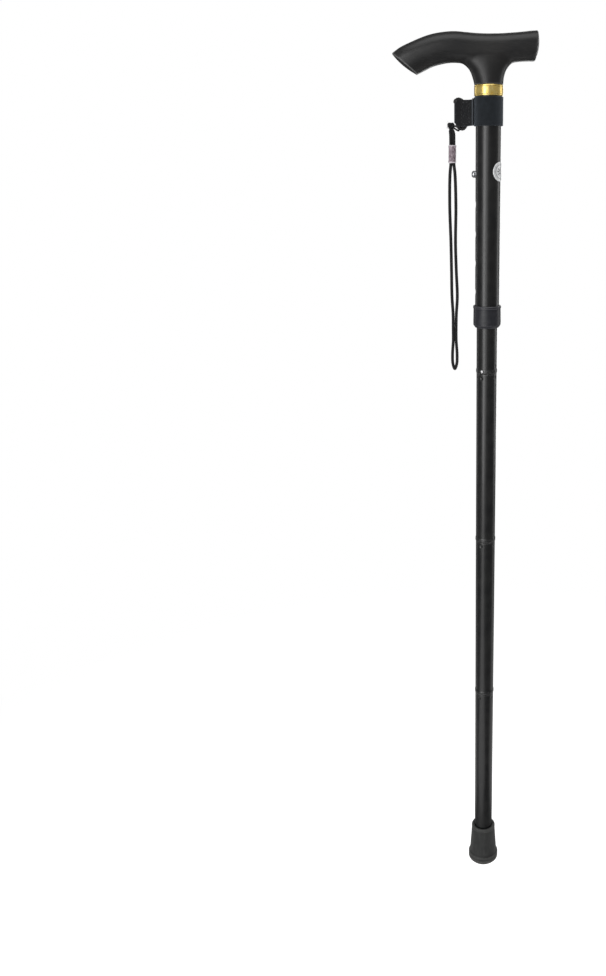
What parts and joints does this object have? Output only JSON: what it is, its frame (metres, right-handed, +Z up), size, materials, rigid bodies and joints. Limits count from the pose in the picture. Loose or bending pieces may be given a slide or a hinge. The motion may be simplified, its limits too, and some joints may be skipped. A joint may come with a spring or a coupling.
{
  "type": "folding walking cane",
  "caption": "Black folding walking cane with a moulded T handle, gold neck ring, telescoping leg that folds in sections on an elastic cord, rubber tip, strap and wrist lanyard.",
  "frame": {"origin": "middle of the rubber tip's flat underside, leg assembled", "axes": "+Z up along the leg, handle nose towards -X, short arm towards +X, front towards -Y"},
  "size_m": [0.1229, 0.0427, 0.85],
  "materials": {
    "handle": "satin moulded black plastic",
    "gold": "polished gold-coloured band",
    "paint": "gloss black paint on aluminium tube",
    "spigot": "satin black, worn bright at its edges",
    "rubber": "moulded black rubber",
    "webbing": "woven dark elastic webbing",
    "elastic": "ribbed black elastic cord",
    "lanyard": "thin braided black cord",
    "ferrule": "cloudy clear crimp tube",
    "steel": "plated steel",
    "collar": "moulded black plastic",
    "nylon": "plain black nylon",
    "label": "silver-grey round label with no text"
  },
  "bodies": {
    "head": {"handle": "handle", "handle_pin": "steel", "neck_ring": "gold", "upper_tube": "paint", "round_label": "label", "lock_collar": "collar"},
    "strap": {"strap_sleeve": "webbing", "strap_tab": "webbing", "retention_cord": "elastic", "lanyard_knot": "lanyard", "lanyard_tail": "lanyard", "lanyard_ferrule": "ferrule", "lanyard_loop": "lanyard"},
    "telescope": {"inner_tube": "paint", "snap_spring": "steel", "mouth_rivet": "steel", "cord_anchor_top": "nylon", "shock_cord_1": "elastic", "cord_bend_1": "elastic"},
    "button": {"snap_button": "steel"},
    "spigot_a": {"spigot_1": "spigot"},
    "leg_2": {"leg_tube_2": "paint", "shock_cord_2": "elastic", "cord_bend_2": "elastic"},
    "spigot_b": {"spigot_2": "spigot"},
    "leg_3": {"leg_tube_3": "paint", "shock_cord_3": "elastic", "cord_bend_3": "elastic"},
    "spigot_c": {"spigot_3": "spigot"},
    "leg_4": {"leg_tube_4": "paint", "shock_cord_4": "elastic", "cord_anchor_tip": "nylon", "tip_washer": "steel", "rubber_tip": "rubber"}
  },
  "joints": [
    {"name": "height_adjust", "type": "slide", "parent": "head", "child": "telescope", "axis": [0, 0, -1], "range_m": [0, 0.1016], "deforming": ["snap_button", "snap_spring"]},
    {"name": "button_press", "type": "slide", "parent": "telescope", "child": "button", "axis": [1, 0, 0], "range_m": [0, 0.0042], "deforming": ["snap_spring"]},
    {"name": "strap_slide", "type": "slide", "parent": "head", "child": "strap", "axis": [0, 0, -1], "range_m": [0, 0.026]},
    {"name": "fold", "type": "hinge", "parent": "telescope", "child": "spigot_a", "pos_m": [-0.0126, 0, 0.5625], "axis": [0, 1, 0], "range_deg": [0, 180], "deforming": ["cord_bend_1"]},
    {"name": "draw_1", "type": "slide", "parent": "spigot_a", "child": "leg_2", "axis": [0, 0, -1], "range_m": [0, 0.025]},
    {"name": "fold_2", "type": "hinge", "parent": "leg_2", "child": "spigot_b", "pos_m": [0.01025, 0, 0.3925], "axis": [0, 1, 0], "range_deg": [-180, 0], "deforming": ["cord_bend_2"]},
    {"name": "draw_2", "type": "slide", "parent": "spigot_b", "child": "leg_3", "axis": [0, 0, -1], "range_m": [0, 0.025]},
    {"name": "fold_3", "type": "hinge", "parent": "leg_3", "child": "spigot_c", "pos_m": [-0.0109, 0, 0.2185], "axis": [0, 1, 0], "range_deg": [0, 180], "deforming": ["cord_bend_3"]},
    {"name": "draw_3", "type": "slide", "parent": "spigot_c", "child": "leg_4", "axis": [0, 0, -1], "range_m": [0, 0.025]}
  ],
  "couplings": [
    {"joint": "fold_2", "follows": "fold", "ratio": -1},
    {"joint": "fold_3", "follows": "fold", "ratio": 1},
    {"joint": "draw_1", "follows": "fold", "m_per_rad": 0.0078941},
    {"joint": "draw_2", "follows": "fold", "m_per_rad": 0.0078941},
    {"joint": "draw_3", "follows": "fold", "m_per_rad": 0.0078941}
  ]
}
